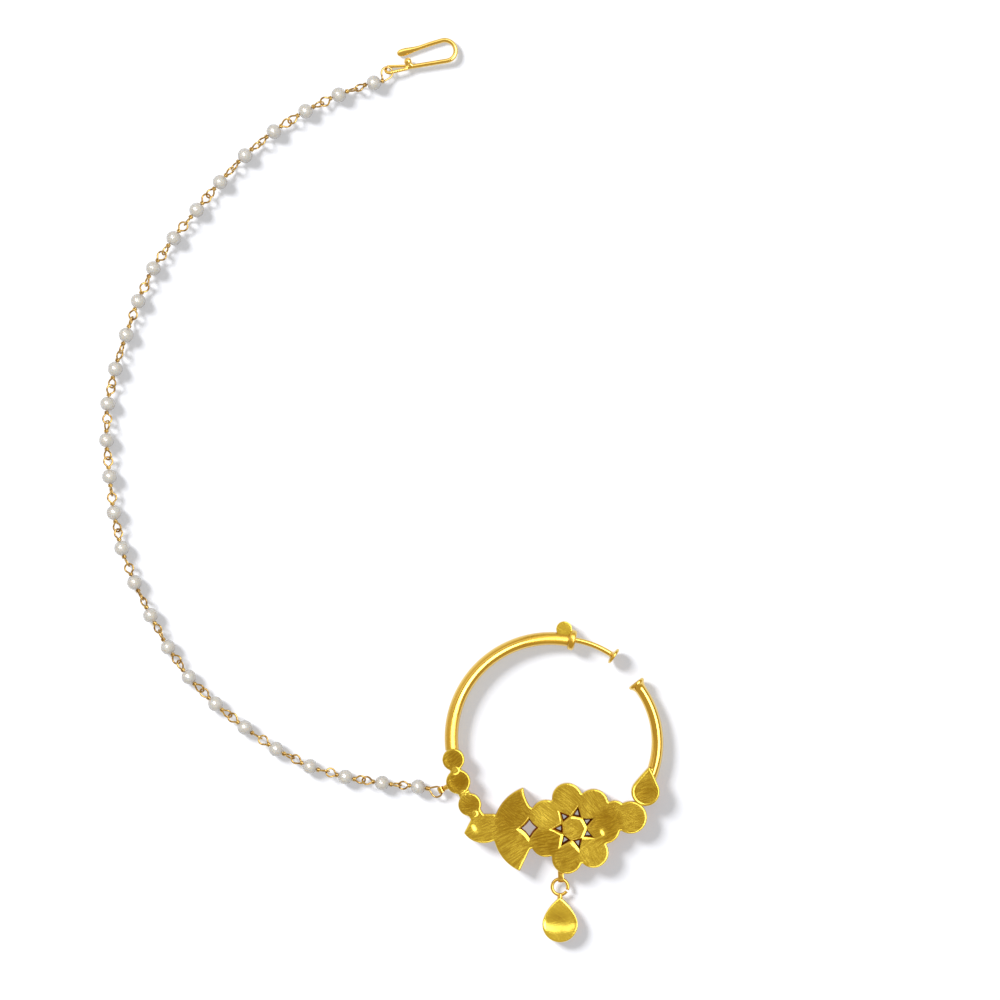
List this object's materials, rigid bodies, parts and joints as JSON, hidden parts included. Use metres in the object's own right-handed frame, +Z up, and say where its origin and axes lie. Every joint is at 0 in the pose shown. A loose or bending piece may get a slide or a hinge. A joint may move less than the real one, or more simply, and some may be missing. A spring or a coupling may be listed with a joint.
{
  "type": "nose ring with chain",
  "caption": "Large back-soldered gold nose ring with a seven-petalled plate, a pear drop and a pearl chain ending in a hair hook, lying flat.",
  "frame": {"origin": "bottom centre of the whole lying piece's box, on the surface it lies on", "axes": "+Z up from the surface; +Y from the drop towards the hair hook; +X from the chain towards the ring's plate"},
  "size_m": [0.1014, 0.1628, 0.0037],
  "materials": {
    "gold": "satin high-carat gold, polished on the tubes",
    "pearl": "soft lustre"
  },
  "bodies": {
    "root": {"nose_ring": "gold", "drop": "gold", "hair_hook": "gold", "link_01": "gold", "link_02": "gold", "link_03": "gold", "link_04": "gold", "link_05": "gold", "link_06": "gold", "link_07": "gold", "link_08": "gold", "link_09": "gold", "link_10": "gold", "link_11": "gold", "link_12": "gold", "link_13": "gold", "link_14": "gold", "link_15": "gold", "link_16": "gold", "link_17": "gold", "link_18": "gold", "link_19": "gold", "link_20": "gold", "link_21": "gold", "link_22": "gold", "link_23": "gold", "link_24": "gold", "link_25": "gold", "link_26": "gold", "link_27": "gold", "link_28": "gold", "pearls_1": "pearl", "pearls_2": "pearl", "pearls_3": "pearl", "pearls_4": "pearl"}
  },
  "joints": []
}
